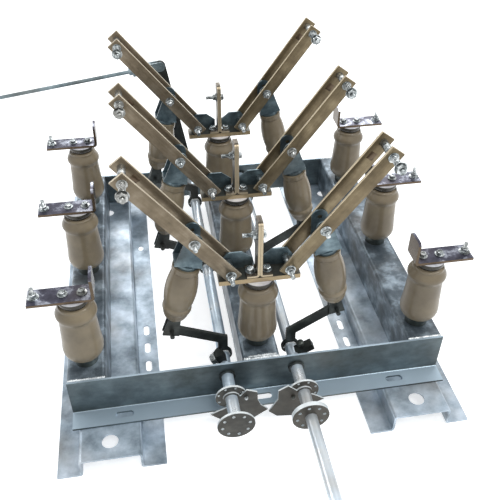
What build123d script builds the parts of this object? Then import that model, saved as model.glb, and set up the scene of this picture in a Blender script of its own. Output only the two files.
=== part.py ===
"""Three-pole, two-way knife disconnector on a welded steel frame.

All sizes are in millimetres. X runs to the right, Y to the back and Z up. The origin lies on
the floor, straight below the middle centre post. The pieces stand in the open position.
"""

import os
from math import acos, atan2, cos, degrees, hypot, radians, sin

from build123d import *

# Poles, frame and posts
POLE_PITCH = 250.0
SIDE_POST_X = 310.5
FRONT_ROW_TO_WEB = 54.0
BACK_ROW_TO_WEB = 106.0
RAIL_X = 280.0
RAIL_FRONT_RUN = 103.0
RAIL_BACK_RUN = 96.0
RAIL_WEB_WIDTH = 108.0
RAIL_FOOT_WIDTH = 40.0
RAIL_HEIGHT = 40.0
SHEET = 4.0
INNER_BEND = 2.5
ANCHOR_HOLE_R = 14.5
ANCHOR_FRONT_INSET = 35.0
ANCHOR_BACK_INSET = 141.0
FOOT_SLOT_X = 206.0
FOOT_SLOT_FIRST_Y = -180.0
FOOT_SLOT_PITCH = 49.5
FOOT_SLOT_COUNT = 3
FOOT_SLOT_LENGTH = 30.0
FOOT_SLOT_WIDTH = 12.0
FOOT_HOLE_LENGTH = 20.0
FOOT_HOLE_Y = 200.0

CROSS_BEAM_HEIGHT = 82.0
CROSS_BEAM_FLANGE = 37.0
CROSS_BEAM_HALF_LENGTH = 344.5
CROSS_SLOT_X = 253.0
CROSS_SLOT_LENGTH = 33.0
CROSS_SLOT_WIDTH = 13.0
INSULATOR_BEAM_WIDTH = 68.0

CAP_R = 21.0
CAP_HEIGHT = 19.0
PORCELAIN_HEIGHT = 121.0
PORCELAIN_FOOT_R = 26.5
PORCELAIN_BULGE_R = 36.5
PORCELAIN_BULGE_Z = 18.0
PORCELAIN_SHOULDER_R = 34.5
PORCELAIN_SHOULDER_Z = 31.5
PORCELAIN_WAIST_R = 31.0
PORCELAIN_WAIST_Z = 92.0
PORCELAIN_COLLAR_R = 36.0
PORCELAIN_COLLAR_Z = 103.0
PORCELAIN_NECK_R = 25.0
PORCELAIN_NECK_Z = 112.5
INSERT_R = 22.0
INSERT_HEIGHT = 14.0

# Copper work
BAR_GAUGE = 5.0
KNIFE_GAP = 40.6
KNIFE_PLAY = 0.4
CONTACT_WIDTH = 38.8
CONTACT_PLATE_X = 274.0
CONTACT_BAR_END_X = 383.0
CONTACT_PLATE_RISE = 43.0
CONTACT_PLATE_CHAMFER = 5.0
TERMINAL_HOLE_R = 4.5
TERMINAL_HOLE_X = 373.0
BAR_BEND = 3.0
BRACKET_END_X = 70.0
BRACKET_WIDTH = 31.6
BRACKET_GAUGE = 9.0
EAR_GAUGE = 3.0
EAR_INNER_X = 7.0
EAR_OUTER_X = 62.0
EAR_SHOULDER = 19.0
EAR_HEIGHT = 34.0
EAR_INNER_SLOPE = 19.0
EAR_OUTER_SLOPE = 10.0
CENTRE_TERMINAL_WIDTH = 30.0
CENTRE_TERMINAL_GAUGE = 4.0
CENTRE_TERMINAL_FOOT = 22.0
CENTRE_TERMINAL_HEIGHT = 112.0
CENTRE_TERMINAL_BOLT_HEIGHT = 81.0
LEAF_GAP = 0.4

# Knives and their links
HINGE_X = 50.0
HINGE_ABOVE_BRACKET = 17.0
BLADE_REACH = 252.0
BLADE_WIDTH = 26.0
BLADE_END = 13.0
FORK_REACH = 93.0
LEFT_BLADE_ANGLE = 51.8
RIGHT_BLADE_ANGLE = 54.2
BOLT_R = 4.0
BOLT_HEX_R = 7.4
BOLT_HEAD = 6.0
BOLT_TAIL = 19.0
NUT_HEIGHT = 6.5
SEAT_PLAY = 0.1
HINGE_RING_R = 9.0
HINGE_RING_GAUGE = 2.0
HINGE_BOLT_TAIL = 15.0
TIP_WASHER_R = 11.7
TIP_WASHER_GAUGE = 2.0
TIP_HEAD_R = 6.4
TIP_HEAD_HEIGHT = 5.0
TIP_SPRING_R = 5.5
TIP_SPRING_LENGTH = 26.0
TIP_CUP_R = 10.5
TIP_CUP_HEIGHT = 5.0
TIP_NUT_R = 9.0
TIP_NUT_HEIGHT = 8.0
TIP_BOLT_TAIL = 5.0
SLEEVE_R = 6.5
PIN_PLAY = 0.25
FORK_PLAY = 0.5
LEFT_LINK_LENGTH = 208.0
RIGHT_LINK_LENGTH = 199.0
FORK_GAUGE = 3.4
FORK_TOP_R = 14.0
FORK_BASE_WIDTH = 46.0
FORK_HEIGHT = 52.0
FORK_BOSS_R = 19.0
LINK_PORCELAIN_TOP = 59.0
LINK_PORCELAIN_BOTTOM = 181.0
LINK_COLLAR_R = 23.5
LINK_COLLAR_DEPTH = 9.0
LINK_NECK_R = 21.5
LINK_NECK_DROP = 3.0
LINK_BODY_R = 27.5
LINK_BODY_Z = 75.5
LINK_WAIST_R = 24.0
LINK_WAIST_Z = 36.5
LINK_RIB_R = 25.5
LINK_RIB_Z = 29.0
LINK_BELLY_R = 23.0
LINK_BELLY_Z = 22.0
LINK_ANKLE_R = 18.5
LINK_ANKLE_Z = 8.5
LINK_FOOT_R = 10.0
LOWER_FORK_WIDTH = 22.0
LOWER_FORK_TOE = 30.0
LOWER_FORK_GAUGE = 4.0
LOWER_FORK_BRIDGE_WIDTH = 16.0
LOWER_FORK_BRIDGE_GAUGE = 3.0
LOWER_FORK_BELOW_PIN = 10.0
LOWER_PIN_FRONT = 22.0
LOWER_PIN_BACK = 12.0

# Shafts, levers and drive
SHAFT_X = 64.0
SHAFT_Z = 92.0
SHAFT_R = 11.0
SHAFT_WALL = 3.0
SHAFT_PLAY = 0.3
BUSH_WALL = 3.7
BUSH_LENGTH = 12.0
RIGHT_SHAFT_BACK_RUN = 16.0
LEVER_LENGTH = 122.5
LEVER_GAUGE = 6.0
LEVER_WIDTH = 18.0
LEVER_RISE = 40.0
LEVER_HUB_R = 17.0
LEVER_EYE_R = 11.0
LEVER_PLAY = 0.6
STOP_LUG_AHEAD = 21.0
STOP_LUG_WIDTH = 16.0
STOP_LUG_HEIGHT = 15.0
LEFT_LUG_REACH = 28.0
RIGHT_LUG_REACH = 42.0
LEFT_LUG_ANGLE = 65.0
RIGHT_LUG_ANGLE = 28.0
LOCK_PLATE_GAUGE = 3.0
LOCK_HUB_R = 15.0
LEFT_INNER_DISC_AHEAD = 46.0
RIGHT_INNER_DISC_AHEAD = 54.0
INNER_DISC_R = 27.5
INNER_HOLE_R = 2.2
INNER_HOLE_CIRCLE_R = 23.5
INNER_HOLE_ANGLE = 25.0
DISC_R = 32.5
DISC_GAUGE = 4.0
DISC_HOLE_R = 2.75
HOLE_CIRCLE_R = 24.0
DISC_HOLE_COUNT = 8
DISC_HOLE_ANGLE = 11.0
OUTER_DISC_AHEAD = 106.0
HANDLE_R = 10.3
HANDLE_LENGTH = 182.0
BACK_LEVER_BEHIND = 44.0
BACK_LEVER_TOP_X = -117.0
BACK_LEVER_TOP_Z = 382.0
BACK_LEVER_WIDTH = 25.0
CLEVIS_PIN_R = 5.0
CLEVIS_REACH = 66.0
CLEVIS_MOUTH = 20.0
CLEVIS_HEIGHT = 22.0
CLEVIS_CHEEK = 4.0
ROD_R = 4.3
ROD_ANGLE = 8.1
ROD_LENGTH = 392.0
ROD_NUT_R = 8.5
ROD_NUT_LENGTH = 8.0

# Levels and places that follow from the sizes above
BEAM_TOP = RAIL_HEIGHT + CROSS_BEAM_HEIGHT
PORCELAIN_BASE = BEAM_TOP + CAP_HEIGHT
PORCELAIN_TOP = PORCELAIN_BASE + PORCELAIN_HEIGHT
BAR_BASE = PORCELAIN_TOP + INSERT_HEIGHT
BAR_TOP = BAR_BASE + BAR_GAUGE
BRACKET_TOP = BAR_BASE + BRACKET_GAUGE
HINGE_Z = BRACKET_TOP + HINGE_ABOVE_BRACKET
FRONT_WEB_Y = -(POLE_PITCH + FRONT_ROW_TO_WEB)
BACK_WEB_Y = POLE_PITCH + BACK_ROW_TO_WEB
RAIL_FRONT_Y = FRONT_WEB_Y - RAIL_FRONT_RUN
RAIL_BACK_Y = BACK_WEB_Y + RAIL_BACK_RUN
ANCHOR_FRONT_Y = RAIL_FRONT_Y + ANCHOR_FRONT_INSET
ANCHOR_BACK_Y = RAIL_BACK_Y - ANCHOR_BACK_INSET
STOP_LUG_Y = -(POLE_PITCH + STOP_LUG_AHEAD)
INNER_DISC_Y = {
    "left": FRONT_WEB_Y - LEFT_INNER_DISC_AHEAD,
    "right": FRONT_WEB_Y - RIGHT_INNER_DISC_AHEAD,
}
OUTER_DISC_Y = FRONT_WEB_Y - OUTER_DISC_AHEAD
BACK_LEVER_Y = BACK_WEB_Y + BACK_LEVER_BEHIND
EAR_Y = BRACKET_WIDTH / 2 + EAR_GAUGE / 2
FRONT_BAR_AT_HINGE = BRACKET_WIDTH / 2 + KNIFE_PLAY
BACK_BAR_AT_HINGE = EAR_Y + EAR_GAUGE / 2 + KNIFE_PLAY
BEAM_X = CROSS_BEAM_HALF_LENGTH - INSULATOR_BEAM_WIDTH / 2
BUSH_R = SHAFT_R + SHAFT_PLAY + BUSH_WALL
ROWS = {"front": -POLE_PITCH, "middle": 0.0, "back": POLE_PITCH}
COLUMNS = {"left": -SIDE_POST_X, "centre": 0.0, "right": SIDE_POST_X}
BEAMS = {"left": -BEAM_X, "centre": 0.0, "right": BEAM_X}
SIDES = {"left": -1, "right": 1}
BLADE_OPEN = {"left": LEFT_BLADE_ANGLE, "right": RIGHT_BLADE_ANGLE}
LINK_LENGTH = {"left": LEFT_LINK_LENGTH, "right": RIGHT_LINK_LENGTH}

os.makedirs("parts", exist_ok=True)


def upright_plane(y, x=0, z=0):
    """The plane at this y that faces the front, with x to the right and z up."""
    return Plane(origin=(x, y, z), x_dir=(1, 0, 0), z_dir=(0, -1, 0))


def fork_point(angle):
    """Where the upper fork's bolt stands, outwards and up, at this blade angle in radians."""
    return (HINGE_X + FORK_REACH * cos(angle), HINGE_Z + FORK_REACH * sin(angle))


def lever_angle(side, angle):
    """The angle of the line from shaft to lever eye that fits this blade angle."""
    fork_x, fork_z = fork_point(angle)
    span = hypot(fork_x - SHAFT_X, fork_z - SHAFT_Z)
    share = (LEVER_LENGTH**2 + span**2 - LINK_LENGTH[side] ** 2) / (2 * LEVER_LENGTH * span)
    return atan2(fork_z - SHAFT_Z, fork_x - SHAFT_X) - acos(share)


def eye_point(angle):
    """Where the lever's eye stands when the lever line is at this angle."""
    return (SHAFT_X + LEVER_LENGTH * cos(angle), SHAFT_Z + LEVER_LENGTH * sin(angle))


def link_angle(side, angle):
    """The angle of the line from lever eye to upper bolt at this blade angle."""
    fork_x, fork_z = fork_point(angle)
    eye_x, eye_z = eye_point(lever_angle(side, angle))
    return atan2(fork_z - eye_z, fork_x - eye_x)


def mid_travel_error(side):
    """How far link pin and lever eye part at half travel, when all turn at a steady rate."""
    opened = radians(BLADE_OPEN[side])
    fork_x, fork_z = fork_point(opened / 2)
    tilt = (link_angle(side, opened) + link_angle(side, 0)) / 2
    eye_x, eye_z = eye_point((lever_angle(side, opened) + lever_angle(side, 0)) / 2)
    pin_x = fork_x - LINK_LENGTH[side] * cos(tilt)
    pin_z = fork_z - LINK_LENGTH[side] * sin(tilt)
    return (pin_x - eye_x, pin_z - eye_z)


def link_ends(side):
    """The upper bolt and the lower pin of a link, outwards and up, with half the error set off."""
    opened = radians(BLADE_OPEN[side])
    error = mid_travel_error(side)
    eye = eye_point(lever_angle(side, opened))
    return fork_point(opened), (eye[0] - error[0] / 2, eye[1] - error[1] / 2)


LOWER_PIN_R = BOLT_R
EYE_PLAY = max(hypot(*mid_travel_error(side)) for side in SIDES) / 2 + PIN_PLAY
EYE_HOLE_R = LOWER_PIN_R + EYE_PLAY


def blade_plane(side, y):
    """A plane on the blade's hinge, with x along the open blade and y across it."""
    out = SIDES[side]
    angle = radians(BLADE_OPEN[side])
    return Plane(
        origin=(out * HINGE_X, y, HINGE_Z),
        x_dir=(out * cos(angle), 0, sin(angle)),
        z_dir=(0, -1, 0),
    )


def bar_plane(side, y, at_hinge, at_tip):
    """The middle plane of a blade bar that stands this far from the row at hinge and at tip."""
    out = SIDES[side]
    angle = radians(BLADE_OPEN[side])
    run_x = out * cos(angle) * BLADE_REACH
    run_z = sin(angle) * BLADE_REACH
    run_y = at_tip - at_hinge
    return Plane(
        origin=(out * HINGE_X, y + at_hinge, HINGE_Z),
        x_dir=(run_x, run_y, run_z),
        z_dir=(run_y * run_x, -(run_x**2 + run_z**2), run_y * run_z),
    )


def link_plane(side, y, drop=0):
    """A plane this far below the link's upper bolt, with y up along the link."""
    out = SIDES[side]
    top, pin = link_ends(side)
    length = hypot(top[0] - pin[0], top[1] - pin[1])
    up_x = out * (top[0] - pin[0]) / length
    up_z = (top[1] - pin[1]) / length
    origin = (out * top[0] - drop * up_x, y, top[1] - drop * up_z)
    return Plane(origin=origin, x_dir=(up_z, 0, -up_x), z_dir=(0, -1, 0))


def link_pin_distance(side):
    """From the upper bolt to the lower pin."""
    top, pin = link_ends(side)
    return hypot(top[0] - pin[0], top[1] - pin[1])


# Hat rails: folded channels with feet that lie on the floor
for side, out in SIDES.items():
    with BuildPart() as hat_rail:
        half_web = RAIL_WEB_WIDTH / 2 - SHEET / 2
        half_all = RAIL_WEB_WIDTH / 2 + RAIL_FOOT_WIDTH
        with BuildSketch(upright_plane(RAIL_FRONT_Y, out * RAIL_X)):
            with BuildLine():
                FilletPolyline(
                    (-half_all, SHEET / 2),
                    (-half_web, SHEET / 2),
                    (-half_web, RAIL_HEIGHT - SHEET / 2),
                    (half_web, RAIL_HEIGHT - SHEET / 2),
                    (half_web, SHEET / 2),
                    (half_all, SHEET / 2),
                    radius=INNER_BEND + SHEET / 2,
                )
            trace(line_width=SHEET)
        extrude(amount=RAIL_FRONT_Y - RAIL_BACK_Y)
        with BuildSketch(Plane.XY.offset(RAIL_HEIGHT)):
            with Locations((out * RAIL_X, ANCHOR_FRONT_Y), (out * RAIL_X, ANCHOR_BACK_Y)):
                Circle(ANCHOR_HOLE_R)
        extrude(amount=-2 * SHEET, mode=Mode.SUBTRACT)
        with BuildSketch(Plane.XY):
            for number in range(FOOT_SLOT_COUNT):
                slot_y = FOOT_SLOT_FIRST_Y + number * FOOT_SLOT_PITCH
                with Locations((out * FOOT_SLOT_X, slot_y)):
                    SlotOverall(FOOT_SLOT_LENGTH, FOOT_SLOT_WIDTH, rotation=90)
            with Locations((out * FOOT_SLOT_X, FOOT_HOLE_Y)):
                SlotOverall(FOOT_HOLE_LENGTH, FOOT_SLOT_WIDTH, rotation=90)
        extrude(amount=SHEET, mode=Mode.SUBTRACT)
    hat_rail.part.label = f"{side}_hat_rail"
    export_step(hat_rail.part, f"parts/{side}_hat_rail.step")

# Cross beams: folded angles, the flange on the rails and turned away from the posts
for place, (face_y, outward) in {"front": (FRONT_WEB_Y, -1), "back": (BACK_WEB_Y, 1)}.items():
    with BuildPart() as cross_beam:
        web_y = face_y - outward * SHEET / 2
        edge_y = face_y + outward * CROSS_BEAM_FLANGE
        with BuildSketch(Plane.YZ.offset(-CROSS_BEAM_HALF_LENGTH)):
            with BuildLine():
                FilletPolyline(
                    (edge_y, RAIL_HEIGHT + SHEET / 2),
                    (web_y, RAIL_HEIGHT + SHEET / 2),
                    (web_y, BEAM_TOP),
                    radius=INNER_BEND + SHEET / 2,
                )
            trace(line_width=SHEET)
        extrude(amount=2 * CROSS_BEAM_HALF_LENGTH)
        with BuildSketch(upright_plane(web_y)):
            with Locations((-SHAFT_X, SHAFT_Z), (SHAFT_X, SHAFT_Z)):
                Circle(BUSH_R)
        extrude(amount=SHEET, both=True, mode=Mode.SUBTRACT)
        with BuildSketch(Plane.XY.offset(RAIL_HEIGHT)):
            slot_y = face_y + outward * CROSS_BEAM_FLANGE / 2
            with Locations((-CROSS_SLOT_X, slot_y), (0, slot_y), (CROSS_SLOT_X, slot_y)):
                SlotOverall(CROSS_SLOT_LENGTH, CROSS_SLOT_WIDTH)
        extrude(amount=SHEET, mode=Mode.SUBTRACT)
    cross_beam.part.label = f"{place}_cross_beam"
    export_step(cross_beam.part, f"parts/{place}_cross_beam.step")

# Insulator beams: channels, open side down, between the two cross beams
for column, x in BEAMS.items():
    with BuildPart() as insulator_beam:
        half = INSULATOR_BEAM_WIDTH / 2 - SHEET / 2
        with BuildSketch(upright_plane(FRONT_WEB_Y + SHEET)):
            with BuildLine():
                FilletPolyline(
                    (x - half, RAIL_HEIGHT),
                    (x - half, BEAM_TOP - SHEET / 2),
                    (x + half, BEAM_TOP - SHEET / 2),
                    (x + half, RAIL_HEIGHT),
                    radius=INNER_BEND + SHEET / 2,
                )
            trace(line_width=SHEET)
        extrude(amount=(FRONT_WEB_Y + SHEET) - (BACK_WEB_Y - SHEET))
    insulator_beam.part.label = f"{column}_insulator_beam"
    export_step(insulator_beam.part, f"parts/{column}_insulator_beam.step")

# Shaft bushes: rings in the webs of the cross beams
with BuildPart() as shaft_bushes:
    for web_middle in (FRONT_WEB_Y + SHEET / 2, BACK_WEB_Y - SHEET / 2):
        with BuildSketch(upright_plane(web_middle)):
            with Locations((-SHAFT_X, SHAFT_Z), (SHAFT_X, SHAFT_Z)):
                Circle(BUSH_R)
                Circle(SHAFT_R + SHAFT_PLAY, mode=Mode.SUBTRACT)
        extrude(amount=BUSH_LENGTH / 2, both=True)
shaft_bushes.part.label = "shaft_bushes"
export_step(shaft_bushes.part, "parts/shaft_bushes.step")

# Post insulators: a bulged foot, a tapered body, a round collar and a neck
for column, x in COLUMNS.items():
    with BuildPart() as post_insulators:
        for y in ROWS.values():
            with BuildSketch(upright_plane(y, x, PORCELAIN_BASE)):
                with BuildLine():
                    Polyline(
                        (PORCELAIN_FOOT_R, 0),
                        (0, 0),
                        (0, PORCELAIN_HEIGHT),
                        (PORCELAIN_NECK_R, PORCELAIN_HEIGHT),
                        (PORCELAIN_NECK_R, PORCELAIN_NECK_Z),
                    )
                    ThreePointArc(
                        (PORCELAIN_NECK_R, PORCELAIN_NECK_Z),
                        (PORCELAIN_COLLAR_R, PORCELAIN_COLLAR_Z),
                        (PORCELAIN_WAIST_R, PORCELAIN_WAIST_Z),
                    )
                    Line(
                        (PORCELAIN_WAIST_R, PORCELAIN_WAIST_Z),
                        (PORCELAIN_SHOULDER_R, PORCELAIN_SHOULDER_Z),
                    )
                    ThreePointArc(
                        (PORCELAIN_SHOULDER_R, PORCELAIN_SHOULDER_Z),
                        (PORCELAIN_BULGE_R, PORCELAIN_BULGE_Z),
                        (PORCELAIN_FOOT_R, 0),
                    )
                make_face()
            revolve(axis=Axis((x, y, 0), (0, 0, 1)))
    post_insulators.part.label = f"{column}_post_insulators"
    export_step(post_insulators.part, f"parts/{column}_post_insulators.step")

# Metal caps below the posts
with BuildPart() as post_base_caps:
    with BuildSketch(Plane.XY.offset(BEAM_TOP)):
        with Locations(*[(x, y) for x in COLUMNS.values() for y in ROWS.values()]):
            Circle(CAP_R)
    extrude(amount=CAP_HEIGHT)
post_base_caps.part.label = "post_base_caps"
export_step(post_base_caps.part, "parts/post_base_caps.step")

# Metal inserts on top of the posts, which carry the copper
with BuildPart() as post_top_inserts:
    with BuildSketch(Plane.XY.offset(PORCELAIN_TOP)):
        with Locations(*[(x, y) for x in COLUMNS.values() for y in ROWS.values()]):
            Circle(INSERT_R)
    extrude(amount=INSERT_HEIGHT)
post_top_inserts.part.label = "post_top_inserts"
export_step(post_top_inserts.part, "parts/post_top_inserts.step")

# Outer contacts: a flat bar with its inner end bent up into a contact plate
for side, out in SIDES.items():
    with BuildPart() as outer_contacts:
        for y in ROWS.values():
            with BuildSketch(upright_plane(y)):
                with BuildLine():
                    FilletPolyline(
                        (out * CONTACT_BAR_END_X, BAR_BASE + BAR_GAUGE / 2),
                        (out * (CONTACT_PLATE_X + BAR_GAUGE / 2), BAR_BASE + BAR_GAUGE / 2),
                        (out * (CONTACT_PLATE_X + BAR_GAUGE / 2), BAR_TOP + CONTACT_PLATE_RISE),
                        radius=BAR_BEND + BAR_GAUGE / 2,
                    )
                trace(line_width=BAR_GAUGE)
            extrude(amount=CONTACT_WIDTH / 2, both=True)
        corners = outer_contacts.edges().filter_by(Axis.X)
        chamfer(corners.group_by(Axis.Z)[-1], CONTACT_PLATE_CHAMFER)
        with BuildSketch(Plane.XY.offset(BAR_BASE)):
            with Locations(*[(out * TERMINAL_HOLE_X, y) for y in ROWS.values()]):
                Circle(TERMINAL_HOLE_R)
        extrude(amount=BAR_GAUGE, mode=Mode.SUBTRACT)
    outer_contacts.part.label = f"{side}_outer_contacts"
    export_step(outer_contacts.part, f"parts/{side}_outer_contacts.step")

# Hinge brackets: a flat bar at each pole, between the blade bars
for row, y in ROWS.items():
    with BuildPart() as hinge_bracket:
        with BuildSketch(Plane.XY.offset(BAR_BASE)):
            with Locations((0, y)):
                Rectangle(2 * BRACKET_END_X, BRACKET_WIDTH)
        extrude(amount=BRACKET_GAUGE)
    hinge_bracket.part.label = f"{row}_hinge_bracket"
    export_step(hinge_bracket.part, f"parts/{row}_hinge_bracket.step")

# Hinge ears: steel plates against the back of the brackets, which hold the hinge bolts
with BuildPart() as hinge_ears:
    for y in ROWS.values():
        for out in SIDES.values():
            with BuildSketch(upright_plane(y + EAR_Y)):
                with BuildLine():
                    Polyline(
                        (out * EAR_INNER_X, BAR_BASE),
                        (out * EAR_INNER_X, BRACKET_TOP + EAR_SHOULDER),
                        (out * (EAR_INNER_X + EAR_INNER_SLOPE), BRACKET_TOP + EAR_HEIGHT),
                        (out * (EAR_OUTER_X - EAR_OUTER_SLOPE), BRACKET_TOP + EAR_HEIGHT),
                        (out * EAR_OUTER_X, BRACKET_TOP + EAR_SHOULDER),
                        (out * EAR_OUTER_X, BAR_BASE),
                        close=True,
                    )
                make_face()
                with Locations((out * HINGE_X, HINGE_Z)):
                    Circle(BOLT_R + PIN_PLAY, mode=Mode.SUBTRACT)
            extrude(amount=EAR_GAUGE / 2, both=True)
hinge_ears.part.label = "hinge_ears"
export_step(hinge_ears.part, "parts/hinge_ears.step")

# Centre terminals: two angle leaves back to back on each bracket
for row, y in ROWS.items():
    with BuildPart() as terminal:
        for out in SIDES.values():
            leaf_x = LEAF_GAP / 2 + CENTRE_TERMINAL_GAUGE / 2
            with BuildSketch(upright_plane(y)):
                with BuildLine():
                    FilletPolyline(
                        (out * CENTRE_TERMINAL_FOOT, BRACKET_TOP + CENTRE_TERMINAL_GAUGE / 2),
                        (out * leaf_x, BRACKET_TOP + CENTRE_TERMINAL_GAUGE / 2),
                        (out * leaf_x, BRACKET_TOP + CENTRE_TERMINAL_HEIGHT),
                        radius=INNER_BEND + CENTRE_TERMINAL_GAUGE / 2,
                    )
                trace(line_width=CENTRE_TERMINAL_GAUGE)
            extrude(amount=CENTRE_TERMINAL_WIDTH / 2, both=True)
        crown = terminal.edges().filter_by(Axis.X).group_by(Axis.Z)[-1]
        fillet(crown, CENTRE_TERMINAL_WIDTH / 4)
        with BuildSketch(Plane.YZ):
            with Locations((y, BRACKET_TOP + CENTRE_TERMINAL_BOLT_HEIGHT)):
                Circle(TERMINAL_HOLE_R)
        extrude(amount=2 * CENTRE_TERMINAL_GAUGE, both=True, mode=Mode.SUBTRACT)
    terminal.part.label = f"{row}_terminal"
    export_step(terminal.part, f"parts/{row}_terminal.step")

# Shaft tubes: one on each side, through all three poles
SHAFT_BACK_Y = {"left": BACK_LEVER_Y + LEVER_GAUGE, "right": BACK_WEB_Y + RIGHT_SHAFT_BACK_RUN}
for side, out in SIDES.items():
    with BuildPart() as shaft_tube:
        shaft_front_y = OUTER_DISC_Y
        with BuildSketch(upright_plane(shaft_front_y)):
            with Locations((out * SHAFT_X, SHAFT_Z)):
                Circle(SHAFT_R)
                Circle(SHAFT_R - SHAFT_WALL, mode=Mode.SUBTRACT)
        extrude(amount=shaft_front_y - SHAFT_BACK_Y[side])
    shaft_tube.part.label = f"{side}_shaft_tube"
    export_step(shaft_tube.part, f"parts/{side}_shaft_tube.step")

# Levers: cranked plates on the shafts, one at each pole
for side, out in SIDES.items():
    with BuildPart() as levers:
        eye_x, eye_z = eye_point(lever_angle(side, radians(BLADE_OPEN[side])))
        for y in ROWS.values():
            with BuildSketch(upright_plane(y)):
                with BuildLine():
                    Polyline(
                        (out * SHAFT_X, SHAFT_Z),
                        (out * SHAFT_X, SHAFT_Z + LEVER_RISE),
                        (out * eye_x, eye_z),
                    )
                trace(line_width=LEVER_WIDTH)
                with Locations((out * SHAFT_X, SHAFT_Z + LEVER_RISE)):
                    Circle(LEVER_WIDTH / 2)
                with Locations((out * eye_x, eye_z)):
                    Circle(LEVER_EYE_R)
                    Circle(EYE_HOLE_R, mode=Mode.SUBTRACT)
                with Locations((out * SHAFT_X, SHAFT_Z)):
                    Circle(LEVER_HUB_R)
                    Circle(SHAFT_R, mode=Mode.SUBTRACT)
            extrude(amount=LEVER_GAUGE / 2, both=True)
    levers.part.label = f"{side}_levers"
    export_step(levers.part, f"parts/{side}_levers.step")

# Stop lugs: slanting blocks welded to the shafts, behind the front beam
LUG_REACH = {"left": LEFT_LUG_REACH, "right": RIGHT_LUG_REACH}
LUG_ANGLE = {"left": LEFT_LUG_ANGLE, "right": RIGHT_LUG_ANGLE}
for side, out in SIDES.items():
    with BuildPart() as stop_lug:
        slant = radians(LUG_ANGLE[side])
        lug_plane = Plane(
            origin=(out * SHAFT_X, STOP_LUG_Y, SHAFT_Z),
            x_dir=(out * cos(slant), 0, sin(slant)),
            z_dir=(0, -1, 0),
        )
        with BuildSketch(lug_plane):
            with Locations((LUG_REACH[side] / 2, 0)):
                Rectangle(LUG_REACH[side], STOP_LUG_HEIGHT)
            Circle(SHAFT_R, mode=Mode.SUBTRACT)
        extrude(amount=STOP_LUG_WIDTH / 2, both=True)
    stop_lug.part.label = f"{side}_stop_lug"
    export_step(stop_lug.part, f"parts/{side}_stop_lug.step")

# Lock plates: cam-shaped plates on the inner discs, points to the right and up from the shaft
LOCK_SHAPES = {
    "left": [
        (-38, -38), (-19, -56), (41, -62), (66, -44), (53, -29),
        (47, -13), (46, 8), (27, 17), (-7, -24),
    ],
    "right": [
        (-10, 5), (-29, 23), (-46, 13), (-46, -10), (-62, -40),
        (-47, -56), (-17, -61), (22, -32), (39, -25), (18, -9),
    ],
}
for side, out in SIDES.items():
    with BuildPart() as lock_plate:
        with BuildSketch(upright_plane(INNER_DISC_Y[side] - DISC_GAUGE)):
            with Locations((out * SHAFT_X, SHAFT_Z)):
                Polygon(*LOCK_SHAPES[side], align=None)
                Circle(LOCK_HUB_R)
                Circle(SHAFT_R, mode=Mode.SUBTRACT)
        extrude(amount=LOCK_PLATE_GAUGE)
    lock_plate.part.label = f"{side}_lock_plate"
    export_step(lock_plate.part, f"parts/{side}_lock_plate.step")

# Drive discs: a drilled ring behind the lock plate and a disc that closes the tube's front end
for side, out in SIDES.items():
    with BuildPart() as drive_discs:
        with BuildSketch(upright_plane(INNER_DISC_Y[side])):
            with Locations((out * SHAFT_X, SHAFT_Z)):
                Circle(INNER_DISC_R)
                Circle(SHAFT_R, mode=Mode.SUBTRACT)
                with PolarLocations(INNER_HOLE_CIRCLE_R, DISC_HOLE_COUNT, start_angle=INNER_HOLE_ANGLE):
                    Circle(INNER_HOLE_R, mode=Mode.SUBTRACT)
        extrude(amount=DISC_GAUGE)
        with BuildSketch(upright_plane(OUTER_DISC_Y)):
            with Locations((out * SHAFT_X, SHAFT_Z)):
                Circle(DISC_R)
                with PolarLocations(HOLE_CIRCLE_R, DISC_HOLE_COUNT, start_angle=DISC_HOLE_ANGLE):
                    Circle(DISC_HOLE_R, mode=Mode.SUBTRACT)
        extrude(amount=DISC_GAUGE)
    drive_discs.part.label = f"{side}_drive_discs"
    export_step(drive_discs.part, f"parts/{side}_drive_discs.step")

# Handle flange: a ring against the right outer disc
handle_back_y = OUTER_DISC_Y - DISC_GAUGE
with BuildPart() as handle_flange:
    with BuildSketch(upright_plane(handle_back_y)):
        with Locations((SHAFT_X, SHAFT_Z)):
            Circle(DISC_R)
            Circle(HANDLE_R - SHAFT_WALL, mode=Mode.SUBTRACT)
            with PolarLocations(HOLE_CIRCLE_R, DISC_HOLE_COUNT, start_angle=DISC_HOLE_ANGLE):
                Circle(DISC_HOLE_R, mode=Mode.SUBTRACT)
    extrude(amount=DISC_GAUGE)
handle_flange.part.label = "handle_flange"
export_step(handle_flange.part, "parts/handle_flange.step")

# Handle tube: it stands on the flange and runs on to the front
with BuildPart() as handle_tube:
    with BuildSketch(upright_plane(handle_back_y - DISC_GAUGE)):
        with Locations((SHAFT_X, SHAFT_Z)):
            Circle(HANDLE_R)
            Circle(HANDLE_R - SHAFT_WALL, mode=Mode.SUBTRACT)
    extrude(amount=HANDLE_LENGTH)
handle_tube.part.label = "handle_tube"
export_step(handle_tube.part, "parts/handle_tube.step")

# Back lever: a long flat bar on the left shaft, behind the back beam
with BuildPart() as back_lever:
    lever_top = (BACK_LEVER_TOP_X, BACK_LEVER_TOP_Z)
    with BuildSketch(upright_plane(BACK_LEVER_Y)):
        with BuildLine():
            Line((-SHAFT_X, SHAFT_Z), lever_top)
        trace(line_width=BACK_LEVER_WIDTH)
        with Locations(lever_top):
            Circle(BACK_LEVER_WIDTH / 2)
            Circle(CLEVIS_PIN_R + PIN_PLAY, mode=Mode.SUBTRACT)
        with Locations((-SHAFT_X, SHAFT_Z)):
            Circle(LEVER_HUB_R)
            Circle(SHAFT_R, mode=Mode.SUBTRACT)
    extrude(amount=LEVER_GAUGE / 2, both=True)
back_lever.part.label = "back_lever"
export_step(back_lever.part, "parts/back_lever.step")

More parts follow.
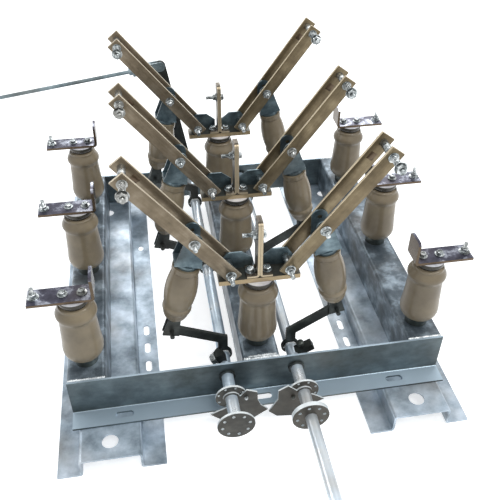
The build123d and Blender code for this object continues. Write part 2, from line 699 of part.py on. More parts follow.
# Drive rod: a clevis astride the back lever, a locknut and the rod that runs to the left
with BuildPart() as drive_rod:
    rod_angle = radians(ROD_ANGLE)
    rod_plane = Plane(
        origin=(BACK_LEVER_TOP_X, BACK_LEVER_Y, BACK_LEVER_TOP_Z),
        x_dir=(-cos(rod_angle), 0, -sin(rod_angle)),
        z_dir=(0, -1, 0),
    )
    clevis_inside = LEVER_GAUGE / 2 + LEVER_PLAY
    clevis_half = clevis_inside + CLEVIS_CHEEK
    with BuildSketch(rod_plane):
        Circle(CLEVIS_HEIGHT / 2)
        with Locations((CLEVIS_REACH / 2, 0)):
            Rectangle(CLEVIS_REACH, CLEVIS_HEIGHT)
    extrude(amount=clevis_half, both=True)
    with BuildSketch(rod_plane):
        with Locations((CLEVIS_MOUTH / 2 - CLEVIS_HEIGHT / 2, 0)):
            Rectangle(CLEVIS_MOUTH + CLEVIS_HEIGHT, 2 * CLEVIS_HEIGHT)
    extrude(amount=clevis_inside, both=True, mode=Mode.SUBTRACT)
    with BuildSketch(rod_plane):
        Circle(CLEVIS_PIN_R)
    extrude(amount=clevis_half + CLEVIS_CHEEK, both=True)
    rod_axis = Axis(rod_plane.origin, rod_plane.x_dir)
    with BuildSketch(rod_plane):
        with Locations((CLEVIS_REACH, 0)):
            Rectangle(ROD_NUT_LENGTH, ROD_NUT_R, align=(Align.MIN, Align.MIN))
            Rectangle(ROD_LENGTH - CLEVIS_REACH, ROD_R, align=(Align.MIN, Align.MIN))
    revolve(axis=rod_axis)
drive_rod.part.label = "drive_rod"
export_step(drive_rod.part, "parts/drive_rod.step")

# Blade bars: a pair at each pole, astride bracket and contact plate, wider apart at the tip
BAR_PLACES = {-1: FRONT_BAR_AT_HINGE, 1: BACK_BAR_AT_HINGE}
for side in SIDES:
    with BuildPart() as blade_bars:
        for y in ROWS.values():
            for face, inner in BAR_PLACES.items():
                at_hinge = face * (inner + BAR_GAUGE / 2)
                at_tip = face * (KNIFE_GAP / 2 + BAR_GAUGE / 2)
                with BuildSketch(bar_plane(side, y, at_hinge, at_tip)):
                    with Locations((BLADE_REACH / 2, 0)):
                        Rectangle(BLADE_REACH + 2 * BLADE_END, BLADE_WIDTH)
                extrude(amount=BAR_GAUGE / 2, both=True)
            with BuildSketch(blade_plane(side, y)):
                with Locations((0, 0), (FORK_REACH, 0), (BLADE_REACH, 0)):
                    Circle(BOLT_R)
            extrude(amount=KNIFE_GAP, both=True, mode=Mode.SUBTRACT)
    blade_bars.part.label = f"{side}_blade_bars"
    export_step(blade_bars.part, f"parts/{side}_blade_bars.step")

# Blade bolts: each a row of discs from back to front, with its own head, sleeve, rings and nut
HEXAGON = 6
for side in SIDES:
    with BuildPart() as blade_bolts:
        for y in ROWS.values():
            for reach in (0, FORK_REACH, BLADE_REACH):
                share = reach / BLADE_REACH
                front_y = FRONT_BAR_AT_HINGE + share * (KNIFE_GAP / 2 - FRONT_BAR_AT_HINGE)
                back_y = BACK_BAR_AT_HINGE + share * (KNIFE_GAP / 2 - BACK_BAR_AT_HINGE)
                front_seat = front_y + BAR_GAUGE + SEAT_PLAY
                back_seat = back_y + BAR_GAUGE + SEAT_PLAY
                if reach == BLADE_REACH:
                    head = [(TIP_WASHER_R, TIP_WASHER_GAUGE), (TIP_HEAD_R, TIP_HEAD_HEIGHT)]
                    sleeve_back, sleeve_r = back_y - SEAT_PLAY, SLEEVE_R
                    stack = [
                        (TIP_SPRING_R, TIP_SPRING_LENGTH),
                        (TIP_CUP_R, TIP_CUP_HEIGHT),
                        (TIP_NUT_R, TIP_NUT_HEIGHT),
                        (BOLT_R, TIP_BOLT_TAIL),
                    ]
                elif reach == 0:
                    head = [(BOLT_HEX_R, BOLT_HEAD)]
                    sleeve_back, sleeve_r = BRACKET_WIDTH / 2 - PIN_PLAY, SLEEVE_R
                    stack = [
                        (HINGE_RING_R, HINGE_RING_GAUGE),
                        (BOLT_HEX_R, NUT_HEIGHT),
                        (BOLT_R, HINGE_BOLT_TAIL),
                    ]
                else:
                    head = [(BOLT_HEX_R, BOLT_HEAD)]
                    sleeve_back, sleeve_r = back_y, BOLT_R
                    stack = [(BOLT_HEX_R, NUT_HEIGHT), (BOLT_R, BOLT_TAIL - NUT_HEIGHT)]
                with BuildSketch(blade_plane(side, y + back_seat)):
                    with Locations((reach, 0)):
                        Circle(BOLT_R)
                extrude(amount=back_seat + front_seat)
                with BuildSketch(blade_plane(side, y + sleeve_back)):
                    with Locations((reach, 0)):
                        Circle(sleeve_r)
                extrude(amount=sleeve_back + front_y - SEAT_PLAY)
                place_y = y + back_seat
                for radius, depth in head:
                    place_y += depth
                    with BuildSketch(blade_plane(side, place_y)):
                        with Locations((reach, 0)):
                            if radius == BOLT_HEX_R:
                                RegularPolygon(radius, HEXAGON)
                            else:
                                Circle(radius)
                    extrude(amount=depth)
                place_y = y - front_seat
                for radius, depth in stack:
                    with BuildSketch(blade_plane(side, place_y)):
                        with Locations((reach, 0)):
                            if radius in (BOLT_HEX_R, TIP_NUT_R):
                                RegularPolygon(radius, HEXAGON)
                            else:
                                Circle(radius)
                    extrude(amount=depth)
                    place_y -= depth
    blade_bolts.part.label = f"{side}_blade_bolts"
    export_step(blade_bolts.part, f"parts/{side}_blade_bolts.step")

# Upper forks: a folded plate between the bars that carries the link insulator
for side in SIDES:
    with BuildPart() as upper_forks:
        fork_front = FRONT_BAR_AT_HINGE + FORK_PLAY
        fork_back = BACK_BAR_AT_HINGE - KNIFE_PLAY
        for y in ROWS.values():
            for leg_y in (y - fork_front + FORK_GAUGE / 2, y + fork_back - FORK_GAUGE / 2):
                with BuildSketch(link_plane(side, leg_y)):
                    Circle(FORK_TOP_R)
                    Polygon(
                        (-FORK_TOP_R, 0),
                        (-FORK_BASE_WIDTH / 2, -FORK_HEIGHT),
                        (FORK_BASE_WIDTH / 2, -FORK_HEIGHT),
                        (FORK_TOP_R, 0),
                        align=None,
                    )
                    Circle(BOLT_R + PIN_PLAY, mode=Mode.SUBTRACT)
                extrude(amount=FORK_GAUGE / 2, both=True)
            with BuildSketch(link_plane(side, y + fork_back)):
                with Locations((0, FORK_GAUGE / 2 - FORK_HEIGHT)):
                    Rectangle(FORK_BASE_WIDTH, FORK_GAUGE)
            extrude(amount=fork_front + fork_back)
            with BuildSketch(link_plane(side, y)):
                with Locations((0, -LINK_PORCELAIN_TOP)):
                    Rectangle(
                        FORK_BOSS_R,
                        LINK_PORCELAIN_TOP - FORK_HEIGHT,
                        align=(Align.MIN, Align.MIN),
                    )
            revolve(axis=Axis(link_plane(side, y).origin, link_plane(side, y).y_dir))
    upper_forks.part.label = f"{side}_upper_forks"
    export_step(upper_forks.part, f"parts/{side}_upper_forks.step")

# Link insulators: porcelain barrels between the forks
for side in SIDES:
    with BuildPart() as link_insulators:
        length = LINK_PORCELAIN_BOTTOM - LINK_PORCELAIN_TOP
        for y in ROWS.values():
            with BuildSketch(link_plane(side, y, LINK_PORCELAIN_BOTTOM)):
                with BuildLine():
                    Polyline(
                        (LINK_FOOT_R, 0),
                        (0, 0),
                        (0, length),
                        (LINK_COLLAR_R, length),
                        (LINK_COLLAR_R, length - LINK_COLLAR_DEPTH),
                        (LINK_NECK_R, length - LINK_COLLAR_DEPTH - LINK_NECK_DROP),
                    )
                    ThreePointArc(
                        (LINK_NECK_R, length - LINK_COLLAR_DEPTH - LINK_NECK_DROP),
                        (LINK_BODY_R, LINK_BODY_Z),
                        (LINK_WAIST_R, LINK_WAIST_Z),
                    )
                    ThreePointArc(
                        (LINK_WAIST_R, LINK_WAIST_Z),
                        (LINK_RIB_R, LINK_RIB_Z),
                        (LINK_BELLY_R, LINK_BELLY_Z),
                    )
                    ThreePointArc(
                        (LINK_BELLY_R, LINK_BELLY_Z),
                        (LINK_ANKLE_R, LINK_ANKLE_Z),
                        (LINK_FOOT_R, 0),
                    )
                make_face()
            revolve(axis=Axis(link_plane(side, y).origin, link_plane(side, y).y_dir))
    link_insulators.part.label = f"{side}_link_insulators"
    export_step(link_insulators.part, f"parts/{side}_link_insulators.step")

# Lower forks: a small steel fork astride each lever, with the pin that sits in the lever's eye
for side in SIDES:
    with BuildPart() as lower_forks:
        pin_drop = link_pin_distance(side)
        inside = LEVER_GAUGE / 2 + LEVER_PLAY
        fork_bottom = pin_drop + LOWER_FORK_BELOW_PIN
        for y in ROWS.values():
            with BuildSketch(link_plane(side, y)):
                Polygon(
                    (-LOWER_FORK_WIDTH / 2, -LINK_PORCELAIN_BOTTOM),
                    (-LOWER_FORK_TOE / 2, -fork_bottom),
                    (LOWER_FORK_TOE / 2, -fork_bottom),
                    (LOWER_FORK_WIDTH / 2, -LINK_PORCELAIN_BOTTOM),
                    align=None,
                )
            extrude(amount=inside + LOWER_FORK_GAUGE, both=True)
            with BuildSketch(link_plane(side, y)):
                with Locations((0, -LINK_PORCELAIN_BOTTOM)):
                    Rectangle(
                        2 * LOWER_FORK_TOE,
                        fork_bottom - LINK_PORCELAIN_BOTTOM,
                        align=(Align.CENTER, Align.MAX),
                    )
            extrude(amount=inside, both=True, mode=Mode.SUBTRACT)
            with BuildSketch(link_plane(side, y)):
                with Locations((0, -LINK_PORCELAIN_BOTTOM)):
                    Rectangle(
                        LOWER_FORK_BRIDGE_WIDTH,
                        LOWER_FORK_BRIDGE_GAUGE,
                        align=(Align.CENTER, Align.MAX),
                    )
            extrude(amount=inside, both=True)
            with BuildSketch(link_plane(side, y + LOWER_PIN_BACK)):
                with Locations((0, -pin_drop)):
                    Circle(LOWER_PIN_R)
            extrude(amount=LOWER_PIN_BACK + LOWER_PIN_FRONT)
    lower_forks.part.label = f"{side}_lower_forks"
    export_step(lower_forks.part, f"parts/{side}_lower_forks.step")

# The travel of each side, for the record's joints
for side in SIDES:
    opened = radians(BLADE_OPEN[side])
    shaft_travel = degrees(lever_angle(side, opened) - lever_angle(side, 0))
    link_turn = degrees(link_angle(side, opened) - link_angle(side, 0))
    print(side, "shaft", round(shaft_travel, 4), "blade", BLADE_OPEN[side])
    print(side, "link", round(link_turn, 4), "upper bolt", fork_point(opened))
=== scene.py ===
# %% [markdown]
# This lesson dresses a three-pole knife disconnector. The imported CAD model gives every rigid
# piece at its real size, in metres. Here the pieces get the finishes of the real ones, and the
# small things that a CAD model leaves plain, such as bolts, springs and weld beads, are
# modelled beside them. The model is loaded first, because every new piece is placed from it.

import math
import random

import bpy
from mathutils import Matrix, Vector


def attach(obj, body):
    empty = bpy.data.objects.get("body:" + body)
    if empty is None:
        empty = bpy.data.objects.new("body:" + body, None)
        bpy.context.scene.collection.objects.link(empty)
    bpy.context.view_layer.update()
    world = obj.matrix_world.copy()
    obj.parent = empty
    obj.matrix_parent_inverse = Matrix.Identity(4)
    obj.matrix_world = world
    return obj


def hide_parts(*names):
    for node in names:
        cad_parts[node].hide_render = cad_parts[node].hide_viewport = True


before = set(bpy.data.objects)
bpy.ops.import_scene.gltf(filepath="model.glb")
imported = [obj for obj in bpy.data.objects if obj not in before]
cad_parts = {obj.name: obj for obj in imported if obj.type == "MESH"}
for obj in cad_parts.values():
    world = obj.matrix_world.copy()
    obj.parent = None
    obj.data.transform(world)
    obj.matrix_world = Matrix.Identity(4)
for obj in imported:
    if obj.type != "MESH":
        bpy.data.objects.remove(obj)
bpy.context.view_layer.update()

# %% [markdown]
# A few helpers keep the cells short. Operators act on all that is selected, so every step
# starts with nothing selected. A finished piece keeps its object at the origin, with its place
# in its mesh, as the CAD nodes do. Then Object coordinates run through the whole machine, and
# a pattern doesn't jump from piece to piece.


# %% Helpers for objects
def deselect():
    bpy.ops.object.select_all(action="DESELECT")


def only(piece):
    """Select this piece alone and make it the active one."""
    deselect()
    piece.select_set(True)
    bpy.context.view_layer.objects.active = piece


def settle(piece):
    """Move the piece's place and turn into its mesh, so that its object sits at the origin."""
    only(piece)
    bpy.ops.object.transform_apply(location=True, rotation=True, scale=True)
    return piece


def joined(pieces, name):
    """Join pieces into one mesh under a new name."""
    deselect()
    for piece in pieces:
        piece.select_set(True)
    bpy.context.view_layer.objects.active = pieces[0]
    bpy.ops.object.join()
    pieces[0].name = name
    pieces[0].data.name = name
    return settle(pieces[0])


def copied(piece, matrix, name):
    """A copy with its own mesh, which this matrix moves and turns."""
    twin = piece.copy()
    twin.data = piece.data.copy()
    twin.name = name
    twin.data.name = name
    bpy.context.collection.objects.link(twin)
    twin.data.transform(matrix)
    return twin


def facing(place, direction):
    """A matrix that takes a piece standing up at the origin to this place and direction."""
    turn = Vector(direction).to_track_quat("Z", "Y").to_matrix().to_4x4()
    return Matrix.Translation(place) @ turn


def pick_faces(piece, wanted):
    """Select the faces for which wanted(centre, normal) holds, then enter edit mode on faces."""
    only(piece)
    bpy.ops.object.mode_set(mode="EDIT")
    bpy.ops.mesh.select_mode(type="FACE")
    bpy.ops.mesh.select_all(action="DESELECT")
    bpy.ops.object.mode_set(mode="OBJECT")
    for face in piece.data.polygons:
        face.select = wanted(face.center, face.normal)
    bpy.ops.object.mode_set(mode="EDIT")


def smooth(piece, degrees=35):
    """Leave edit mode and shade smooth, up to this angle between faces."""
    if bpy.context.mode == "EDIT_MESH":
        bpy.ops.object.mode_set(mode="OBJECT")
    only(piece)
    bpy.ops.object.shade_smooth_by_angle(angle=math.radians(degrees))
    return piece


# %% [markdown]
# Colours are read off the photograph as sRGB hex values, and Blender's nodes want linear
# numbers, so one function turns the first into the second. Another adds a node with its
# settings and its links, and every material below is made with these two.


# %% Helpers for materials
def linear(hex_colour):
    """An sRGB hex colour as linear red, green, blue and alpha."""
    parts = [int(hex_colour[i : i + 2], 16) / 255 for i in (1, 3, 5)]
    return [c / 12.92 if c <= 0.04045 else ((c + 0.055) / 1.055) ** 2.4 for c in parts] + [1.0]


def add_node(tree, kind, inputs=None, stops=None, **settings):
    """Add a node. An input that is a socket is linked, and any other is set as a value.

    stops are the (position, hex colour) pairs of a node that has a ramp.
    """
    made = tree.nodes.new(kind)
    for key, value in settings.items():
        setattr(made, key, value)
    for key, value in (inputs or {}).items():
        if isinstance(value, bpy.types.NodeSocket):
            tree.links.new(value, made.inputs[key])
        else:
            made.inputs[key].default_value = value
    for number, (position, colour) in enumerate(stops or []):
        elements = made.color_ramp.elements
        element = elements[number] if number < 2 else elements.new(position)
        element.position = position
        element.color = linear(colour)
    return made


def new_material(name):
    """A material with an empty tree, its output node and the object's own coordinates."""
    material = bpy.data.materials.new(name)
    material.use_nodes = True
    tree = material.node_tree
    tree.nodes.clear()
    output = add_node(tree, "ShaderNodeOutputMaterial")
    place = add_node(tree, "ShaderNodeTexCoord").outputs["Object"]
    return material, tree, output, place


def faces_along(tree, axis, inside, outside):
    """A socket that has one value on faces that look along this axis and another elsewhere."""
    normal = add_node(tree, "ShaderNodeNewGeometry").outputs["True Normal"]
    parts = add_node(tree, "ShaderNodeSeparateXYZ", {"Vector": normal})
    share = add_node(tree, "ShaderNodeMath", {0: parts.outputs[axis]}, operation="ABSOLUTE")
    return add_node(tree, "ShaderNodeMapRange",
                    {"Value": share.outputs["Value"], "From Min": 0.45, "From Max": 0.75,
                     "To Min": outside, "To Max": inside}).outputs["Result"]


# %% [markdown]
# The frame is folded from steel sheet, welded, and then zinc-plated. Zinc on a large sheet is
# never even: the bath leaves soft clouds a hand wide, running marks, and a brown haze near the
# welds. One noise gives the clouds, a second one the runs, and a third the haze. The same
# noises move the roughness, so that the clouds show in the reflections too.


# %% Zinc-plated steel
def plated_steel(name, light, middle, dark, haze, roughness, metallic, cloud_mm=90,
                 grain_bump=0.05, bare_and_painted_light=None):
    """Zinc-plated steel: a metal, kept a little dull by the passivated film on the zinc.

    bare_and_painted_light is an axis and a hex colour: a face that looks along this axis keeps the
    plated colour, and the others get this second colour. It is bare copper on the sawn edges of
    the contact bars. On the rest it is painted light: a pale painted light on the beams' flanges,
    a painted highlight on the cut edges of plates, and a dark painted shade on the inserts' sides.
    """
    material, tree, output, place = new_material(name)
    # Clouds 40 to 90 mm wide on sheets, and smaller ones on small parts.
    clouds = add_node(tree, "ShaderNodeTexNoise",
                      {"Vector": place, "Scale": 1000 / cloud_mm, "Detail": 6.0,
                       "Roughness": 0.6})
    # Runs about 18 mm high and 36 mm long, lying level.
    along = add_node(tree, "ShaderNodeMapping", {"Vector": place, "Scale": (0.5, 0.5, 1.0)})
    runs = add_node(tree, "ShaderNodeTexNoise",
                    {"Vector": along.outputs["Vector"], "Scale": 55.0, "Detail": 5.0,
                     "Roughness": 0.65})
    both = add_node(tree, "ShaderNodeMix",
                    {"Factor": 0.3, "A": clouds.outputs["Fac"], "B": runs.outputs["Fac"]})
    colour = add_node(tree, "ShaderNodeValToRGB", {"Fac": both.outputs["Result"]},
                      stops=[(0.36, dark), (0.66, light), (0.5, middle)])
    # Brown haze in patches about 140 mm wide.
    patches = add_node(tree, "ShaderNodeTexNoise",
                       {"Vector": place, "Scale": 7.0, "Detail": 3.0, "Roughness": 0.5})
    amount = add_node(tree, "ShaderNodeMapRange",
                      {"Value": patches.outputs["Fac"], "From Min": 0.5, "From Max": 0.72,
                       "To Min": 0.0, "To Max": 0.6})
    tinted = add_node(tree, "ShaderNodeMix",
                      {"Factor": amount.outputs["Result"], "A": colour.outputs["Color"],
                       "B": linear(haze)}, data_type="RGBA")
    finish = tinted.outputs["Result"]
    # The second colour: bare copper on the contact bars, painted light and painted shade on the
    # beams, plates and inserts.
    if bare_and_painted_light:
        axis, bare_and_painted_colour = bare_and_painted_light
        finish = add_node(tree, "ShaderNodeMix",
                          {"Factor": faces_along(tree, axis, 0.0, 1.0), "A": finish,
                           "B": linear(bare_and_painted_colour)}, data_type="RGBA").outputs["Result"]
    rough = add_node(tree, "ShaderNodeMapRange",
                     {"Value": both.outputs["Result"], "From Min": 0.3, "From Max": 0.7,
                      "To Min": roughness + 0.08, "To Max": roughness - 0.06})
    # Grain of the plating: 2.5 mm, coarser than the real one so that it shows.
    grain = add_node(tree, "ShaderNodeTexNoise",
                     {"Vector": place, "Scale": 400.0, "Detail": 2.0})
    bump = add_node(tree, "ShaderNodeBump",
                    {"Height": grain.outputs["Fac"], "Strength": grain_bump,
                     "Distance": 0.0006})
    shader = add_node(tree, "ShaderNodeBsdfPrincipled",
                      {"Base Color": finish, "Metallic": metallic,
                       "Roughness": rough.outputs["Result"], "Normal": bump.outputs["Normal"]})
    tree.links.new(shader.outputs["BSDF"], output.inputs["Surface"])
    return material


rail_zinc = plated_steel("rail_zinc", "#d8e4f0", "#a6b5c2", "#6f7d88", "#7d776e", 0.36, 0.55, 60)
channel_zinc = plated_steel("channel_zinc", "#a9b8c4", "#5c6770", "#3a444c", "#5e5850", 0.36, 0.55,
                            40)
# The cross beams' flat flanges get a pale colour that is painted light, and their upright webs
# darker colours that are painted shade.
beam_zinc = plated_steel("beam_zinc", "#6d7a7e", "#525d61", "#3b4445", "#4a473f", 0.4, 0.6,
                         bare_and_painted_light=("Y", "#a4b5c1"))
tube_zinc = plated_steel("tube_zinc", "#f4f9fd", "#d2e2ef", "#a8bac8", "#b4ab9f", 0.3, 0.6)
rod_zinc = plated_steel("rod_zinc", "#a6b5bb", "#7c8c92", "#4c595e", "#6b6459", 0.34, 0.6, 60)
fork_zinc = plated_steel("fork_zinc", "#7e9097", "#56666d", "#36444b", "#4f4b44", 0.33, 0.7, 40)
blackened_steel = plated_steel("blackened_steel", "#4b514f", "#2f3433", "#1c1f1f", "#38332d",
                               0.4, 0.6, 40)
cap_steel = plated_steel("cap_steel", "#5b615d", "#434946", "#2c302e", "#45403a", 0.36, 0.6, 40)
weld_metal = plated_steel("weld_metal", "#fafcfc", "#d3d8da", "#868c8f", "#8d857a",
                          0.35, 0.3, 6, 0.3)

# %% [markdown]
# Bolts and nuts are barrel-plated: bright zinc in spots of a few millimetres, partly patchy
# plating and partly painted highlights and painted shade. The lock plates and discs are flame-cut
# and blackened, and their cut edges get a bright painted highlight. The inserts in the posts are
# the
# other way round: a dark painted shade on the side, and a near-white painted light on top. One
# look at the face's own normal tells edge from face, and this holds from every view.

# %% Bolts, cut plates and inserts, with painted highlights and shade
# The white and near-black spots of the bolts are painted highlights and painted shade over real
# patchy plating.
bright_zinc = plated_steel("bright_zinc", "#eaedee", "#959b9c", "#424647", "#857d71", 0.26, 0.9, 7)
# The bright second colour on the plates' cut edges is a painted highlight.
cut_plate = plated_steel("cut_plate", "#4d4c46", "#3a3934", "#262622", "#423b31", 0.42, 0.4, 30,
                         bare_and_painted_light=("Y", "#e2e8ea"))
# The inserts' near-white top colour is painted light, and the dark colour on their sides is
# painted shade.
insert_painted_light = plated_steel("insert_painted_light", "#f4f5f8", "#e4e6ec", "#bcbec8", "#c9c3ba", 0.3,
                               0.4, 30, bare_and_painted_light=("Z", "#37332c"))

# %% [markdown]
# The tin on the contact bars is thin and stained: dark violet-grey with pale spots where
# fingers and flux have left it bright. The copper shows at the sawn edges. Tin is a soft white
# metal with a low gloss, so the same recipe as for zinc serves, with clouds of 25 mm.

# %% Tin-plated contact bars
tinned_copper = plated_steel("tinned_copper", "#d3d9e6", "#4b4b59", "#2a2934", "#4c4139", 0.26,
                             0.7, 25, bare_and_painted_light=("Z", "#584b3c"))

# %% [markdown]
# The posts and links are stoneware porcelain under a brown-grey glaze. Glaze is glass: a clear
# smooth coat over a body that scatters light. So the body gets a middling roughness and the
# Coat layer gives the sharp white highlights. A few dark specks and soft clouds come from the
# kiln. The glaze waves a little, which bends the highlights.


# %% Glazed porcelain
def glazed_porcelain():
    material, tree, output, place = new_material("glazed_porcelain")
    # Clouds in the glaze, about 60 mm wide.
    clouds = add_node(tree, "ShaderNodeTexNoise",
                      {"Vector": place, "Scale": 16.0, "Detail": 4.0, "Roughness": 0.55})
    colour = add_node(tree, "ShaderNodeValToRGB", {"Fac": clouds.outputs["Fac"]},
                      stops=[(0.3, "#655a48"), (0.7, "#83765f"), (0.5, "#736753")])
    # Specks of 1.5 mm that the kiln leaves in the glaze.
    specks = add_node(tree, "ShaderNodeTexVoronoi", {"Vector": place, "Scale": 150.0})
    dots = add_node(tree, "ShaderNodeMapRange",
                    {"Value": specks.outputs["Distance"], "From Min": 0.05, "From Max": 0.11,
                     "To Min": 0.4, "To Max": 0.0})
    spotted = add_node(tree, "ShaderNodeMix",
                       {"Factor": dots.outputs["Result"], "A": colour.outputs["Color"],
                        "B": linear("#3d372f")}, data_type="RGBA")
    waves = add_node(tree, "ShaderNodeTexNoise",
                     {"Vector": place, "Scale": 40.0, "Detail": 1.0})
    bump = add_node(tree, "ShaderNodeBump",
                    {"Height": waves.outputs["Fac"], "Strength": 0.06, "Distance": 0.002})
    shader = add_node(tree, "ShaderNodeBsdfPrincipled",
                      {"Base Color": spotted.outputs["Result"], "Roughness": 0.5,
                       "IOR": 1.52, "Specular IOR Level": 0.3,
                       "Normal": bump.outputs["Normal"],
                       "Coat Weight": 0.4, "Coat Roughness": 0.03, "Coat IOR": 1.5})
    tree.links.new(shader.outputs["BSDF"], output.inputs["Surface"])
    return material


porcelain = glazed_porcelain()

# %% [markdown]
# The blades are flat copper bar that has gone dull: a brown-grey skin with a soft sheen, and
# only faint draw marks along the bar. The marks are a noise squeezed along the blade's own
# direction, so each side has its own material, turned by that side's blade angle.


# %% Tarnished copper bar
def copper_bar(name, light, middle, dark, turn, edge, axis, inside=0.0, outside=1.0):
    """Drawn copper bar, tarnished, with fine draw marks along the bar's own direction.

    edge is the hex colour of the narrow faces: those that don't look along the axis, or with
    inside and outside swapped, the ones that do. On the blades it is a pale painted reflection
    along the narrow edges.
    """
    material, tree, output, place = new_material(name)
    along = add_node(tree, "ShaderNodeMapping",
                     {"Vector": place, "Rotation": (0.0, math.radians(turn), 0.0)})
    squeezed = add_node(tree, "ShaderNodeMapping",
                        {"Vector": along.outputs["Vector"], "Scale": (0.05, 1.0, 1.0)})
    # Draw marks 3 mm wide and 60 mm long.
    marks = add_node(tree, "ShaderNodeTexNoise",
                     {"Vector": squeezed.outputs["Vector"], "Scale": 330.0, "Detail": 3.0})
    # Tarnish in clouds 35 mm wide.
    tarnish = add_node(tree, "ShaderNodeTexNoise",
                       {"Vector": place, "Scale": 28.0, "Detail": 5.0, "Roughness": 0.6})
    both = add_node(tree, "ShaderNodeMix",
                    {"Factor": 0.22, "A": tarnish.outputs["Fac"], "B": marks.outputs["Fac"]})
    colour = add_node(tree, "ShaderNodeValToRGB", {"Fac": both.outputs["Result"]},
                      stops=[(0.3, dark), (0.7, light), (0.5, middle)])
    finish = add_node(tree, "ShaderNodeMix",
                      {"Factor": faces_along(tree, axis, inside, outside),
                       "A": colour.outputs["Color"], "B": linear(edge)},
                      data_type="RGBA").outputs["Result"]
    rough = add_node(tree, "ShaderNodeMapRange",
                     {"Value": tarnish.outputs["Fac"], "From Min": 0.3, "From Max": 0.7,
                      "To Min": 0.42, "To Max": 0.28})
    bump = add_node(tree, "ShaderNodeBump",
                    {"Height": marks.outputs["Fac"], "Strength": 0.06, "Distance": 0.0004})
    shader = add_node(tree, "ShaderNodeBsdfPrincipled",
                      {"Base Color": finish, "Metallic": 0.7,
                       "Roughness": rough.outputs["Result"], "Normal": bump.outputs["Normal"]})
    tree.links.new(shader.outputs["BSDF"], output.inputs["Surface"])
    return material


LEFT_BLADE_ANGLE = 51.8
RIGHT_BLADE_ANGLE = 54.2
# The pale edge colour of each blade is a painted reflection on its narrow edges.
left_copper = copper_bar("left_blade_copper", "#8f8473", "#766a58", "#5c5242",
                         -LEFT_BLADE_ANGLE, "#bdb29e", "Y")
right_copper = copper_bar("right_blade_copper", "#8a7d63", "#71644d", "#584d3b",
                          RIGHT_BLADE_ANGLE, "#b5a88f", "Y")
# The bracket's darker colours on its top face are painted shade; its sides get the paler edge
# colour.
bracket_copper = copper_bar("bracket_copper", "#6c6a62", "#4f4e47", "#3a3832", 0.0, "#a08e70", "Z")
terminal_copper = copper_bar("terminal_copper", "#7a7163", "#575046", "#403a32", 90.0, "#b3a48a",
                             "Y", 1.0, 0.0)
edge_copper = copper_bar("edge_copper", "#7a6a56", "#5e4f3f", "#3e342a", 0.0, "#5e4f3f", "Z")
print("materials made", len(bpy.data.materials))

# %% [markdown]
# Each CAD node gets the finish of the real piece, found by a part of its name. A node that a
# detailed piece replaces further down needs none, but keeps the same one.

# %% Give each CAD node its finish
FINISHES = {
    "hat_rail": rail_zinc,
    "cross_beam": beam_zinc,
    "insulator_beam": channel_zinc,
    # The bushes' blackened finish is painted shade: dark rings in the holes where the shafts pass
    # through the beams.
    "shaft_bushes": blackened_steel,
    "post_insulators": porcelain,
    "link_insulators": porcelain,
    "post_base_caps": cap_steel,
    "post_top_inserts": insert_painted_light,
    "outer_contacts": tinned_copper,
    "hinge_bracket": bracket_copper,
    "hinge_ears": fork_zinc,
    "_terminal": terminal_copper,
    "shaft_tube": tube_zinc,
    "levers": blackened_steel,
    "stop_lug": blackened_steel,
    "lock_plate": cut_plate,
    "drive_discs": cut_plate,
    "handle_flange": cut_plate,
    "handle_tube": tube_zinc,
    "back_lever": blackened_steel,
    "drive_rod": rod_zinc,
    "left_blade_bars": left_copper,
    "right_blade_bars": right_copper,
    "blade_bolts": bright_zinc,
    "upper_forks": fork_zinc,
    "lower_forks": blackened_steel,
}
for name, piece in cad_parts.items():
    finish = [material for part, material in FINISHES.items() if part in name][0]
    piece.data.materials.clear()
    piece.data.materials.append(finish)
print("finishes on", len(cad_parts), "CAD nodes")


def dressed(piece, material, body):
    """Give a new piece its material and its body."""
    piece.data.materials.clear()
    piece.data.materials.append(material)
    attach(piece, body)
    return piece


# %% [markdown]
# A fastener is a stack: a washer, a hexagon with its corners turned off, and the threaded end
# of the bolt. Each master below stands on the origin and points up, and is copied to its
# places later. The hexagon is a six-sided cylinder whose end face is inset and pushed out. A
# thread is drawn by extruding a ring in small steps, in and out, which is enough at this size.


# %% Masters for washers, hexagons and threads
def make_washer(radius, height):
    bpy.ops.mesh.primitive_cylinder_add(vertices=32, radius=radius, depth=height,
                                        location=(0, 0, height / 2))
    washer = settle(bpy.context.object)
    pick_faces(washer, lambda centre, normal: normal.z > 0.9)
    bpy.ops.mesh.inset(thickness=radius * 0.1, depth=height * 0.15)
    return smooth(washer)


def make_hexagon(radius, height, round_height=0.12):
    bpy.ops.mesh.primitive_cylinder_add(vertices=6, radius=radius, depth=height * 0.85,
                                        location=(0, 0, height * 0.425))
    hexagon = settle(bpy.context.object)
    pick_faces(hexagon, lambda centre, normal: normal.z > 0.9)
    bpy.ops.mesh.inset(thickness=radius * 0.16, depth=height * 0.15)
    bpy.ops.mesh.inset(thickness=radius * 0.22, depth=0)
    bpy.ops.mesh.extrude_region_move(
        TRANSFORM_OT_translate={"value": (0, 0, -height * round_height)}
    )
    return smooth(hexagon, 20)


def make_thread(radius, length, pitch=0.0012):
    """A threaded end: rings that step in and out, with a small bevel at the tip."""
    bpy.ops.mesh.primitive_cylinder_add(vertices=20, radius=radius, depth=pitch,
                                        location=(0, 0, pitch / 2))
    thread = settle(bpy.context.object)
    pick_faces(thread, lambda centre, normal: normal.z > 0.9)
    grooves = max(2, int(length / pitch) - 1)
    for _ in range(grooves):
        for scale in (0.86, 1 / 0.86):
            bpy.ops.mesh.extrude_region_move(
                TRANSFORM_OT_translate={"value": (0, 0, (length - pitch) / grooves / 2)}
            )
            bpy.ops.transform.resize(value=(scale, scale, 1))
    bpy.ops.mesh.inset(thickness=radius * 0.2, depth=0.0)
    return smooth(thread, 20)


def lifted(piece, height):
    """Move a piece up within its mesh."""
    piece.data.transform(Matrix.Translation((0, 0, height)))
    return piece


